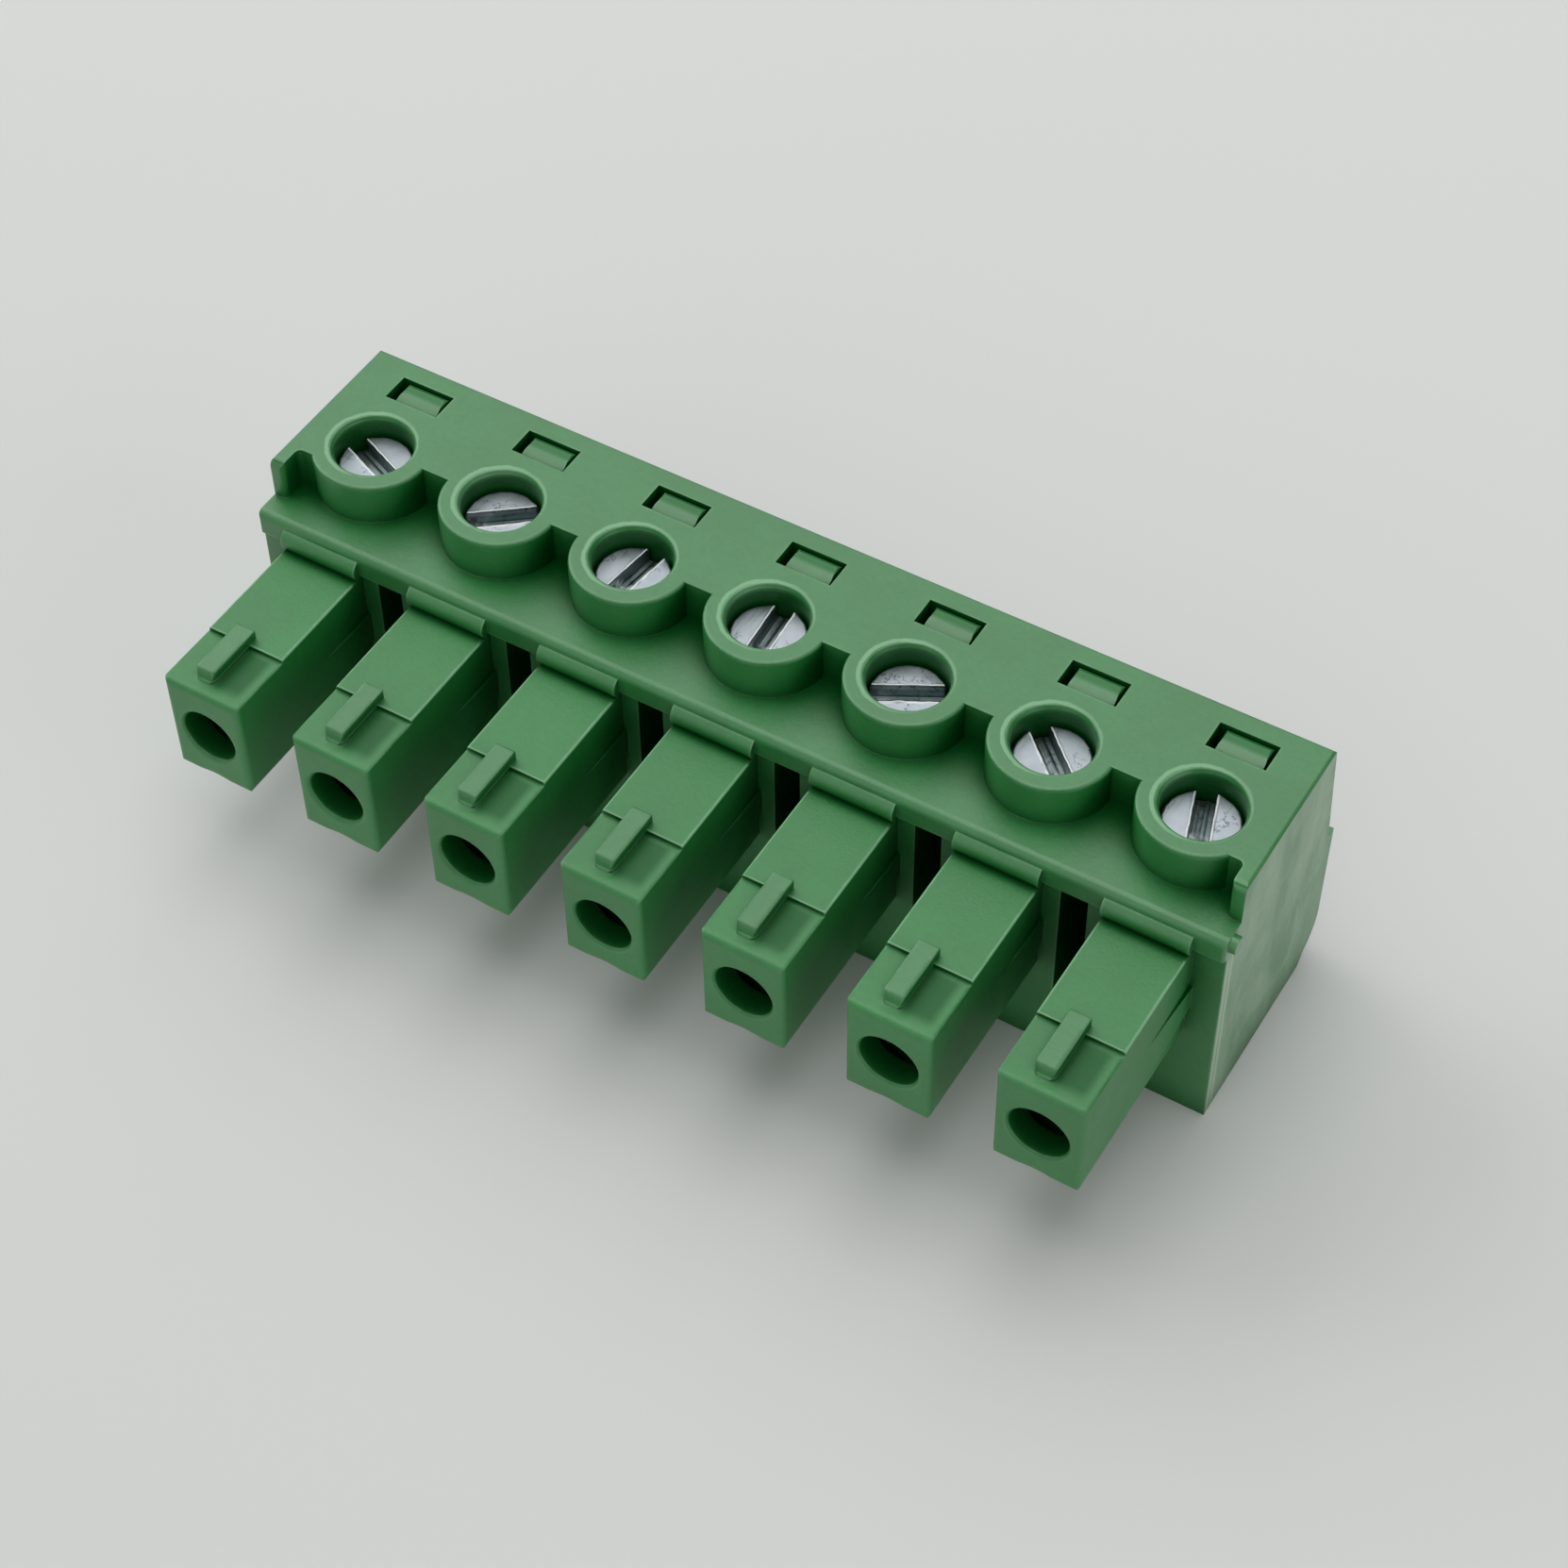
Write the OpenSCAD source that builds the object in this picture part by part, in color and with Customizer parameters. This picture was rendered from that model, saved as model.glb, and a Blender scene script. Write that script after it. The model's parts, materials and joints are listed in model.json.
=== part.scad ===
// Seven-pole pluggable terminal block. Rising-cage screw clamps are worked from the deck, socket fingers
// stand out in front and the wires go in behind. Millimetres, +Z up, +Y towards the wire side.
// The origin is the centre of the footprint, on the bottom face.

/* [Row] */
// Distance between neighbouring poles
pitch = 5.08; // [5:0.02:5.24]
// From the outer screw axes to the end faces
end_margin = 2.54; // [2.49:0.01:2.8]

/* [Housing] */
// Height of the screw deck above the bottom face
body_h = 10.5; // [10.4:0.05:11]
// From the screw axes forward to the front face
front_reach = 3.12; // [3.1:0.02:3.4]
// From the screw axes back to the rear edge of the deck
deck_back = 3.96; // [3.9:0.05:4.2]
// From the screw axes back to the rearmost face
rear_reach = 5; // [4.95:0.05:5.3]
// How far the rear face leans out on its way down
rear_lean = 0.62; // [0.3:0.02:0.7]
// Height of the step where the wire side comes out
step_z = 5.75; // [5.6:0.05:6]
// Height of the front ledge above the bottom face
ledge_z = 8.95; // [8.9:0.05:9.1]
// Height of the lip under the ledge's front band
lip_z = 8.05; // [7.95:0.05:8.1]
// How far the ledge hangs out over the front face
ledge_over = 0.2; // [0.1:0.05:0.3]
// Rounding of the ledge's front rim
rim_r = 0.3; // [0.15:0.05:0.4]
// Rounding of the deck's edges and of the front corners
soft_r = 0.12; // [0.05:0.02:0.2]
// Thickness of the end walls beside the rear cover
end_wall = 0.75; // [0.6:0.05:0.9]

/* [Screw wells] */
// Radius of the barrels round the wells
barrel_r = 2.075; // [2:0.025:2.15]
// Radius of the chamfer at each well's mouth
mouth_r = 1.5; // [1.45:0.05:1.6]
// Depth of that chamfer
mouth_chamfer = 0.25; // [0.1:0.05:0.4]
// Depth of the screw heads below the deck
head_recess = 0.8; // [0.6:0.05:0.9]

/* [Deck windows] */
// Width of the latch windows behind the wells
window_w = 2.03; // [1.95:0.02:2.3]
// From the screw axes back to the windows
window_near = 2.13; // [2.13:0.02:2.2]
// Depth of the latch nubs below the deck
nub_drop = 0.06; // [0.04:0.01:0.2]

/* [Socket fingers] */
// Width of a finger
finger_w = 2.94; // [2.8:0.02:3]
// Height of a finger at its tip
finger_h = 4.03; // [3.95:0.01:4.1]
// Length of a finger from the front face
finger_len = 6.92; // [6.8:0.02:7.2]
// Height of the fingers' undersides above the bottom face
finger_z = 3.74; // [3.7:0.02:3.82]
// Rounding of a finger's upright edges and its two lower edges
finger_edge_r = 0.2; // [0.1:0.05:0.25]
// Rounding across the top and the bottom of a finger's tip
finger_tip_r = 0.18; // [0.05:0.01:0.2]
// Radius of the pin hole in a finger's tip
socket_r = 1.025; // [0.95:0.025:1.05]
// Height of the pin holes above the bottom face
socket_z = 5.7; // [5.65:0.05:5.75]
// Length of the round part of a pin hole
socket_len = 1; // [0.8:0.1:1.2]
// Length of the lowered end of a finger's top
tip_low_len = 2.48; // [2.3:0.02:2.7]
// How much that end is lowered
tip_low = 0.1; // [0.05:0.01:0.15]
// Width of the coding rib
rib_w = 0.7; // [0.5:0.05:0.9]
// Height of the coding rib above the tip's top
rib_h = 0.45; // [0.3:0.05:0.5]
// Offset of the coding rib from the finger's middle
rib_off = -0.2; // [-0.3:0.05:0.3]
// Radius of the half-round bar at a finger's root
bar_round_r = 0.45; // [0.35:0.05:0.5]

/* [Clamps] */
// Rise of a cage from open to closed
travel = 2.2; // [2:0.05:2.2]
// Outer width of a cage
cage_w = 3.2; // [3:0.05:3.25]
// Length of a cage along the wire
cage_len = 3.9; // [3.7:0.05:3.9]
// Thickness of a cage's side walls
cage_wall = 0.4; // [0.35:0.05:0.5]
// Thickness of a cage's floor
cage_floor = 0.5; // [0.4:0.05:0.6]
// Thickness of a cage's tapped roof
cage_roof = 1; // [0.9:0.05:1]
// Radius of the screw thread
thread_r = 1; // [0.9:0.05:1.05]
// Height of a screw head
head_h = 0.95; // [0.8:0.05:1]
// Width of a screw slot
slot_w = 0.65; // [0.4:0.05:0.7]
// Depth of a screw slot
slot_depth = 0.5; // [0.4:0.05:0.6]

/* [Contacts] */
// Height of a current bar's underside above the bottom face
bar_z = 4.35; // [4.3:0.01:4.4]
// Thickness of a current bar
bar_t = 0.5; // [0.4:0.05:0.5]
// Width of a contact
contact_w = 1.9; // [1.8:0.05:1.95]
// Thickness of the spring arms
arm_t = 0.3; // [0.2:0.05:0.35]
// Gap between the spring arms where they grip a pin
grip_gap = 0.76; // [0.6:0.02:0.9]

/* [Wire side] */
// Width of a wire hole
wire_w = 2.7; // [2.4:0.05:2.9]
// Height of a wire hole
wire_h = 2.5; // [2.3:0.05:2.6]
// Width of a funnel's mouth
funnel_w = 3.7; // [3.5:0.05:3.9]
// Height of a funnel's mouth
funnel_h = 3.5; // [3.3:0.05:3.6]

/* [Fits] */
// Clearance round a cage in its chamber
cage_play = 0.1; // [0.05:0.01:0.12]
// Clearance round a screw in its cage
screw_play = 0.05; // [0.03:0.01:0.08]
// Clearance round a screw head in its well
head_play = 0.08; // [0.04:0.01:0.1]
// Clearance round the rear cover
cover_play = 0.05; // [0.03:0.01:0.08]
// Clearance between a contact and its cavity
contact_play = 0.05; // [0.04:0.01:0.1]

/* [Hidden] */
poles = 7;
// Direction of each screw slot, in degrees from +X, as the screws were left
slot_turn = [157, 38, 83, 94, 29, 137, 108];
round_fn = 48;
edge_fn = 24;
past = 1;                       // how far a cut runs past the face that it opens
join = 0.01;                    // overlap of two cuts that meet end to end

// The row along X
pole_x = [for (n = [0 : poles - 1]) (n - (poles - 1) / 2) * pitch];
gap_x = [for (n = [0 : poles - 2]) (n - (poles - 2) / 2) * pitch];
half_w = (poles - 1) / 2 * pitch + end_margin;

// Stations along Y
depth = finger_len + front_reach + rear_reach;
y_tip = -depth / 2;
y_front = y_tip + finger_len;
y_axis = y_front + front_reach;
y_back = y_axis + rear_reach;
y_pocket = y_axis - 0.1;        // flat wall of the notches between the barrels
y_end_notch = y_axis - 1.39;    // where the end notches stop
y_pillar = y_axis - 2.32;       // front of the end pillars
pillar_w = 0.5;
window_d = 1.07;
bay_wall = y_axis + window_near + window_d;   // inner face of the rear wall

// The clamp's heights, worked out from the current bar with the cage fully open
bar_top = bar_z + bar_t;
roof_gap = 0.1;                 // between the bar and the cage's roof
pinch_gap = 0.05;               // left under the bar when the cage is fully up
wire_gap = travel + pinch_gap;
cage_z = bar_z - wire_gap - cage_floor;
cage_inner_h = wire_gap + bar_t + roof_gap;
cage_h = cage_floor + cage_inner_h + cage_roof;
ceiling_z = cage_z + cage_h + travel + cage_play;
wire_z = cage_z + cage_floor + wire_gap / 2;
head_r = mouth_r - 0.25;
well_r = head_r + head_play;
head_top = body_h - head_recess;
chamber_w = cage_w + 2 * cage_play;
chamber_half_len = cage_len / 2 + cage_play;
cavity_w = contact_w + 2 * contact_play;
cavity_z = bar_z - contact_play;
cavity_h = 2 * (socket_z - cavity_z);
creep_w = 0.93;                 // slots that lengthen the surface path between poles
creep_z = 1.5;
creep_back = y_axis + 1;
cover_front = y_axis + chamber_half_len + cover_play;
latch_z = ceiling_z + 0.5;      // where the tongues' teeth hook behind the rear wall
latch_h = 0.35;
latch_out = 0.12;
socket_chamfer = 0.1;

function arc(cx, cy, r, from, to, steps) =
    [for (i = [0 : steps]) let (a = from + (to - from) * i / steps) [cx + r * cos(a), cy + r * sin(a)]];

// Draws an outline of Y and Z points and runs it along X, centred
module along_x(length) translate([-length / 2, 0, 0]) rotate([90, 0, 90]) linear_extrude(length) children();

// Draws an outline of X and Z points and runs it from y0 back to y1
module along_y(y0, y1) translate([0, y1, 0]) rotate([90, 0, 0]) linear_extrude(y1 - y0) children();

module rounded_rect(w, h, r) {
    square([w - 2 * r, h], center = true);
    square([w, h - 2 * r], center = true);
    for (x = [-1, 1], y = [-1, 1])
        translate([x * (w / 2 - r), y * (h / 2 - r)]) circle(r = r, $fn = edge_fn);
}

// A rectangle in a corner of the plane, with its outer corner rounded
module soft_corner(w, h, r) {
    square([w - r, h]);
    square([w, h - r]);
    translate([w - r, h - r]) circle(r = r, $fn = edge_fn);
}

module at_pole(n) translate([pole_x[n - 1], 0, 0]) children();

// ---- Housing ----

// The rear outline, from the step down to the foot; inset shrinks it for the cover
function rear_outline(inset, foot) = let (back = y_back - inset, heel_r = 1.4, draft = 0.05) concat(
    [[back, step_z - inset], [back - draft, heel_r + 1.2]],
    arc(back - draft - heel_r, heel_r + 0.35, heel_r, 0, -70, 5),
    [[back - draft - heel_r + 0.15, foot]]);

module side_profile() {
    rim_y = y_front - ledge_over + rim_r;
    polygon(concat(
        [[y_front, 0], [y_front, lip_z], [y_front - ledge_over, lip_z]],
        arc(rim_y, ledge_z - rim_r, rim_r, 180, 90, 6),
        [[y_pocket, ledge_z], [y_pocket, body_h]],
        arc(y_axis + deck_back - soft_r, body_h - soft_r, soft_r, 90, 8, 5),
        [[y_axis + deck_back + rear_lean, step_z]],
        rear_outline(0, 0)));
}

// The end web closes the notch beside an outer barrel, and the pillar stands in front of it
module end_pillar() {
    top_break = 0.3;
    front_r = 0.22;
    hollow_r = 0.2;
    inner_x = half_w - pillar_w;
    rear_y = y_end_notch + past / 2;
    translate([half_w - end_margin, y_end_notch, ledge_z - past])
        cube([end_margin, y_axis - y_end_notch, body_h - ledge_z + past]);
    intersection() {
        translate([inner_x, 0, 0]) along_x(2 * pillar_w) polygon(concat([[y_pillar, ledge_z - past]],
            arc(y_pillar + top_break, body_h - top_break, top_break, 180, 90, 6),
            [[rear_y, body_h], [rear_y, ledge_z - past]]));
        translate([0, 0, ledge_z - 2 * past]) linear_extrude(body_h) polygon(concat(
            [[half_w, rear_y], [half_w, y_pillar]],
            arc(inner_x + front_r, y_pillar + front_r, front_r, 270, 180, 4),
            arc(inner_x - hollow_r, y_end_notch - hollow_r, hollow_r, 0, 90, 4),
            [[inner_x - hollow_r, rear_y]]));
    }
}

// A barrel with a soft rim
module barrel() translate([0, y_axis, 0]) rotate_extrude($fn = round_fn)
    polygon(concat([[0, ledge_z - past / 2], [barrel_r, ledge_z - past / 2]],
        arc(barrel_r - soft_r, body_h - soft_r, soft_r, 0, 90, 4), [[0, body_h]]));

// What the end faces' edges are cut back to: soft along the deck, at the bottom and up the front corners
module end_faces() {
    tall = body_h + past;
    for (side = [0, 1]) mirror([side, 0, 0]) intersection() {
        along_y(y_tip - past, y_back + past) {
            soft_corner(half_w, body_h, soft_r);
            translate([0, body_h - past / 2]) square([half_w - soft_r, past]);
        }
        translate([0, 0, -past]) linear_extrude(tall + 2 * past)
            translate([0, y_back + past]) mirror([0, 1])
                soft_corner(half_w, y_back + past - y_front + ledge_over, soft_r);
    }
}

// A coding rib, with a round nose in plan that leans back
module coding_rib() {
    front = y_tip + 0.48;
    rear = y_tip + 2.85;
    lean = 0.22;
    nose_r = 0.3;
    foot_z = finger_z + finger_h - 0.1;
    rib_top = finger_z + finger_h + rib_h;
    translate([rib_off, 0, 0]) intersection() {
        along_x(rib_w) polygon([[front, foot_z], [front + lean, rib_top], [rear, rib_top], [rear, foot_z]]);
        linear_extrude(body_h) polygon(concat([[rib_w / 2, rear], [-rib_w / 2, rear]],
            arc(nose_r - rib_w / 2, front + nose_r, nose_r, 180, 270, 4),
            arc(rib_w / 2 - nose_r, front + nose_r, nose_r, 270, 360, 4)));
    }
}

// Low wedges that thicken a finger's flanks where it meets the body
module root_flare() {
    flare = 0.12;
    flare_len = 2.7;
    flare_z = finger_z + 0.35;
    flare_h = 1.95;
    intersection() {
        translate([0, 0, flare_z]) linear_extrude(flare_h)
            polygon([[-finger_w / 2 - flare, y_front], [finger_w / 2 + flare, y_front],
                [finger_w / 2, y_front - flare_len], [-finger_w / 2, y_front - flare_len]]);
        along_x(2 * finger_w) polygon([[y_front, flare_z + flare_h], [y_front, flare_z + flare_h / 2],
            [y_front - flare_len, flare_z], [y_front - flare_len, flare_z + flare_h]]);
    }
}

// A finger's shank, the overlap of its three outlines: crisp along the top and soft elsewhere
module shank() {
    root = y_front + past / 2;
    step = y_tip + tip_low_len;
    top = finger_z + finger_h;
    high = top + tip_low;
    half = finger_w / 2;
    crisp = 0.04;
    sag = 0.03;
    edge_r = finger_edge_r;
    tip_r = finger_tip_r;
    intersection() {
        along_y(y_tip, root) polygon(concat(
            arc(edge_r - half, finger_z + edge_r, edge_r, 180, 270, 4),
            arc(half - edge_r, finger_z + edge_r, edge_r, 270, 360, 4),
            [[half, high - crisp], [half - crisp, high], [crisp - half, high], [-half, high - crisp]]));
        along_x(2 * finger_w) polygon(concat(
            [[root, finger_z], [root, high], [step, high], [step, top - sag]],
            arc(y_tip + tip_r, top - tip_r, tip_r, 90, 180, 4),
            arc(y_tip + tip_r, finger_z + tip_r, tip_r, 180, 270, 4)));
        linear_extrude(body_h) polygon(concat([[half, root], [-half, root]],
            arc(edge_r - half, y_tip + edge_r, edge_r, 180, 270, 4),
            arc(half - edge_r, y_tip + edge_r, edge_r, 270, 360, 4)));
    }
}

// A round bar lies across each finger's root, sunk into the ledge's face
module root_bar() {
    bar_half = finger_w / 2 + 0.02;
    sunk = 0.18;
    drop = 0.71;
    translate([-bar_half, y_front - ledge_over + sunk, ledge_z - drop]) rotate([0, 90, 0])
        cylinder(r = bar_round_r, h = 2 * bar_half, $fn = round_fn);
}

module finger() {
    shank();
    coding_rib();
    root_flare();
    root_bar();
}

// A small lug on one end of the ledge locates a neighbouring block
module end_lug() {
    lug_r = 0.3;
    lug_out = 0.25;
    lug_y = y_front - ledge_over + lug_r + 0.1;
    translate([half_w - past / 2, lug_y, ledge_z - lug_r]) rotate([0, 90, 0])
        cylinder(r = lug_r, h = past / 2 + lug_out, $fn = edge_fn);
}

// The well's mouth widens in a soft curve
module well() translate([0, y_axis, 0]) {
    flare = mouth_r - well_r;
    translate([0, 0, ceiling_z - past / 2])
        cylinder(r = well_r, h = body_h - ceiling_z + past, $fn = round_fn);
    rotate_extrude($fn = round_fn) polygon(concat([[0, body_h + past], [0, body_h - mouth_chamfer]],
        [for (a = [0 : 22.5 : 90]) [mouth_r - flare * cos(a), body_h - mouth_chamfer * (1 - sin(a))]],
        [[mouth_r, body_h + past]]));
}

module deck_window() {
    translate([-window_w / 2, y_axis + window_near, ceiling_z - past / 2])
        cube([window_w, window_d, body_h - ceiling_z + past]);
    translate([-window_w / 2, y_axis + window_near + window_d - past / 2, latch_z - cover_play])
        cube([window_w, past / 2 + latch_out + cover_play, latch_h + 2 * cover_play]);
}

module clamp_chamber() translate([-chamber_w / 2, y_axis - chamber_half_len, cage_z - cage_play])
    cube([chamber_w, 2 * chamber_half_len + past / 2, ceiling_z - cage_z + cage_play]);

// Round at the tip, then square, right through the front wall into the clamp chamber
module finger_bore() {
    translate([0, y_tip, socket_z]) rotate([-90, 0, 0]) {
        translate([0, 0, -past]) cylinder(r = socket_r, h = socket_len + past + join, $fn = round_fn);
        translate([0, 0, -join])
            cylinder(r1 = socket_r + socket_chamfer, r2 = socket_r, h = socket_chamfer + join,
                $fn = round_fn);
    }
    translate([-cavity_w / 2, y_tip + socket_len, cavity_z])
        cube([cavity_w, y_axis - chamber_half_len - y_tip - socket_len + past, cavity_h]);
}

// The scoop along a finger's underside
module finger_scoop() {
    scoop_r = 1.9;
    scoop_deep = 0.2;
    translate([0, y_tip - past, finger_z - scoop_r + scoop_deep]) rotate([-90, 0, 0])
        cylinder(r = scoop_r, h = finger_len + past, $fn = round_fn);
}

module creepage_slot() {
    corner = 0.2;
    along_y(y_front - ledge_over - past, creep_back)
        polygon([[-creep_w / 2, creep_z], [creep_w / 2, creep_z], [creep_w / 2, lip_z - corner],
            [creep_w / 2 - corner, lip_z], [-creep_w / 2, lip_z]]);
}

// The open bay behind the chambers that takes the rear cover
module rear_bay() {
    inner_w = 2 * (half_w - end_wall);
    translate([-inner_w / 2, y_axis + chamber_half_len, -past])
        cube([inner_w, bay_wall - y_axis - chamber_half_len, ceiling_z + past]);
    translate([-inner_w / 2, bay_wall - past / 2, -past])
        cube([inner_w, y_back - bay_wall + 2 * past, step_z + past]);
}

module housing() color("mediumseagreen") difference() {
    union() {
        intersection() {
            union() {
                along_x(2 * half_w) side_profile();
                for (side = [0, 1]) mirror([side, 0, 0]) end_pillar();
            }
            end_faces();
        }
        end_lug();
        for (x = pole_x) translate([x, 0, 0]) {
            barrel();
            finger();
        }
    }
    for (x = pole_x) translate([x, 0, 0]) {
        well();
        deck_window();
        clamp_chamber();
        finger_bore();
        finger_scoop();
    }
    for (x = gap_x) translate([x, 0, 0]) creepage_slot();
    rear_bay();
}

// ---- Rear cover ----

// A square funnel: the overlap of a plan taper and a side taper
module wire_funnel() {
    y0 = cover_front - past;
    y1 = bay_wall + 0.3;
    y2 = y_back + past / 2;
    grow = (y2 - y1) / (y_back - y1);
    wide = wire_w / 2 + (funnel_w - wire_w) / 2 * grow;
    tall = wire_h / 2 + (funnel_h - wire_h) / 2 * grow;
    translate([0, 0, wire_z]) {
        translate([-wire_w / 2, y0, -wire_h / 2]) cube([wire_w, y1 - y0 + join, wire_h]);
        intersection() {
            translate([0, 0, -funnel_h]) linear_extrude(2 * funnel_h)
                polygon([[-wire_w / 2, y1], [wire_w / 2, y1], [wide, y2], [-wide, y2]]);
            along_x(2 * funnel_w) polygon([[y1, -wire_h / 2], [y2, -tall], [y2, tall], [y1, wire_h / 2]]);
        }
    }
}

// A latch tongue stands up through a deck window, with a tooth that hooks behind the rear wall
module latch_tongue() {
    tongue_w = 1.62;
    tongue_off = 0.07;
    side_r = 0.12;
    slope = 0.16;
    y0 = y_axis + window_near + 0.07;
    y1 = y_axis + window_near + window_d - cover_play - 0.02;
    low = ceiling_z - past;
    top = body_h - nub_drop;
    translate([tongue_off, 0, 0]) {
        intersection() {
            translate([0, 0, (low + top) / 2]) along_y(y0, y1) rounded_rect(tongue_w, top - low, side_r);
            along_x(tongue_w) polygon([[y0, low], [y0, top - slope], [y0 + 0.4, top - 0.03],
                [y1 - 0.15, top], [y1, top - 0.08], [y1, low]]);
        }
        along_x(tongue_w - 2 * side_r) polygon([[y1 - 0.1, latch_z], [y1 + latch_out, latch_z],
            [y1, latch_z + latch_h], [y1 - 0.1, latch_z + latch_h]]);
    }
}

module rear_cover() color("seagreen") difference() {
    width = 2 * (half_w - end_wall - cover_play);
    plate_back = bay_wall - cover_play;
    foot = 0.3;
    union() {
        translate([-width / 2, cover_front, foot])
            cube([width, plate_back - cover_front, ceiling_z - cover_play - foot]);
        along_x(width) polygon(concat(
            [[cover_front + 0.1, foot], [cover_front + 0.1, step_z - cover_play]],
            rear_outline(cover_play, foot)));
        for (x = pole_x) translate([x, 0, 0]) latch_tongue();
    }
    for (x = pole_x) translate([x, 0, 0]) wire_funnel();
}

// ---- Clamps ----

// Turned profile of a screw, from the tip on the current bar up to the slotted head
module clamp_screw(n) color("gainsboro") at_pole(n) translate([0, y_axis, 0]) difference() {
    shank_r = thread_r - screw_play;
    tip_z = bar_top + 0.02;
    point = 0.25;
    edge = 0.1;
    rotate_extrude($fn = round_fn) polygon([[0, tip_z], [shank_r - point, tip_z], [shank_r, tip_z + point],
        [shank_r, head_top - head_h], [head_r, head_top - head_h], [head_r, head_top - edge],
        [head_r - edge, head_top], [0, head_top]]);
    translate([0, 0, head_top - slot_depth / 2 + past / 2]) rotate([0, 0, slot_turn[n - 1]])
        cube([3 * head_r, slot_w, slot_depth + past], center = true);
}

// A cage is a short square tube with a tapped roof and a toothed floor
module clamp_cage(n) color("darkkhaki") at_pole(n) translate([0, y_axis, cage_z]) difference() {
    bend_r = 0.3;
    inner_r = 0.12;
    tooth_r = 0.12;
    translate([0, 0, cage_h / 2]) along_y(-cage_len / 2, cage_len / 2) rounded_rect(cage_w, cage_h, bend_r);
    translate([0, 0, cage_floor + cage_inner_h / 2]) along_y(-cage_len / 2 - past, cage_len / 2 + past)
        rounded_rect(cage_w - 2 * cage_wall, cage_inner_h, inner_r);
    translate([0, 0, cage_h - cage_roof - past / 2])
        cylinder(r = thread_r, h = cage_roof + past, $fn = round_fn);
    for (y = [-1.2 : 0.6 : 1.2]) translate([-cage_w / 4, y, cage_floor]) rotate([0, 90, 0])
        cylinder(r = tooth_r, h = cage_w / 2, $fn = edge_fn);
}

// ---- Contacts ----

// One spring arm in plan, from its root on the bar to the flared mouth
function arm_outline(side) = let (
    mouth = y_tip + socket_len + 0.2,
    grip = mouth + 0.75,
    knee = mouth + 3.2,
    root = mouth + 4.8,
    out = contact_w / 2,
    grip_in = grip_gap / 2,
    mouth_in = 0.6)
    [for (p = [[out - arm_t, root], [out, root], [out, knee], [grip_in + arm_t, grip],
        [mouth_in + arm_t, mouth], [mouth_in, mouth], [grip_in, grip], [out - arm_t, knee]])
        [side * p[0], p[1]]];

module contact(n) color("silver") at_pole(n) {
    arm_h = 2 * (socket_z - bar_top);
    mouth = y_tip + socket_len + 0.2;
    bar_end = y_axis + cage_len / 2 - 0.25;
    shoulder_w = cage_w - 2 * cage_wall - 0.3;
    translate([-contact_w / 2, mouth + 3, bar_z]) cube([contact_w, bar_end - mouth - 3, bar_t]);
    translate([-shoulder_w / 2, y_axis - chamber_half_len + cage_play, bar_z])
        cube([shoulder_w, bar_end - y_axis + chamber_half_len - cage_play, bar_t]);
    translate([-contact_w / 2, mouth + 3, bar_z]) cube([contact_w, 1.8, bar_t + 0.1]);
    for (side = [-1, 1]) translate([0, 0, bar_top]) linear_extrude(arm_h) polygon(arm_outline(side));
}

housing();
rear_cover();
for (n = [1 : poles]) {
    clamp_screw(n);
    clamp_cage(n);
    contact(n);
}
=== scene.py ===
# %% [markdown]
# # A seven-pole pluggable terminal block, dressed for its portrait
# The block plugs onto a header's pins with its seven socket fingers. Each pole has a screw in a round well
# on the deck. Turning the screw pulls up a metal cage, and the cage clamps a wire against a current bar.
# The forms come from the packed CAD model. They could be modelled again here, but then the picture and the
# solids could drift apart. So this file gives the forms their skins, moulded plastic, zinc and tin, and makes
# only the screws anew, because a drawing leaves out their thread and their burrs.

# %% Load the model
import json
import math

import bmesh
import bpy
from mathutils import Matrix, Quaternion, Vector, noise


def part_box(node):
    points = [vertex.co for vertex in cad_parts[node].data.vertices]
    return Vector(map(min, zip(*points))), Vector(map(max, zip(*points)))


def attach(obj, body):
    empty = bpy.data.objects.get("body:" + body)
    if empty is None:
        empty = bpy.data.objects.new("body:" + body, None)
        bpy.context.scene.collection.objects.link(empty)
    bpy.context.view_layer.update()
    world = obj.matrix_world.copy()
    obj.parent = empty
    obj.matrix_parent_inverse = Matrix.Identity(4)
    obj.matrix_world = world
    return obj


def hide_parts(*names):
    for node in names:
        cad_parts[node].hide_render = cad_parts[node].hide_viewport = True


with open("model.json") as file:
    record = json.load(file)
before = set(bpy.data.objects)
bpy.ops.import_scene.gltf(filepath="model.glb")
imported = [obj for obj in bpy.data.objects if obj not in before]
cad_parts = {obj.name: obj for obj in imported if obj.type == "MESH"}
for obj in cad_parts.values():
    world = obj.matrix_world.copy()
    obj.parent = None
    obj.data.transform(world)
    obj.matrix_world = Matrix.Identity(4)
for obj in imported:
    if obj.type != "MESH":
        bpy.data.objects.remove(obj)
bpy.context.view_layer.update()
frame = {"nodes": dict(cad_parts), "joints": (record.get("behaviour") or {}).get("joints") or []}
nodes = frame["nodes"]
MM = 0.001

# %% [markdown]
# ## Measuring
# Places could be typed in from a drawing, but then they would be wrong as soon as the model changed. So what
# follows is placed from the model's own boxes and joints. The well axes are where the screw hinges stand,
# and one pole's distance to the next is the pitch.

# %% Measure the row
hinges = [joint for joint in frame["joints"] if joint["type"] == "hinge"]
well_x = [joint["pos_m"][0] for joint in hinges]
well_y = hinges[0]["pos_m"][1]
pitch = well_x[1] - well_x[0]
housing_low, housing_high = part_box("housing")
deck_z = housing_high.z
end_x = -housing_low.x
screw_low, screw_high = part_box("clamp_screw_1")
head_r = (screw_high.x - screw_low.x) / 2
print(f"pitch {pitch / MM:.2f} mm, deck at {deck_z / MM:.2f} mm, head radius {head_r / MM:.2f} mm")

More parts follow.
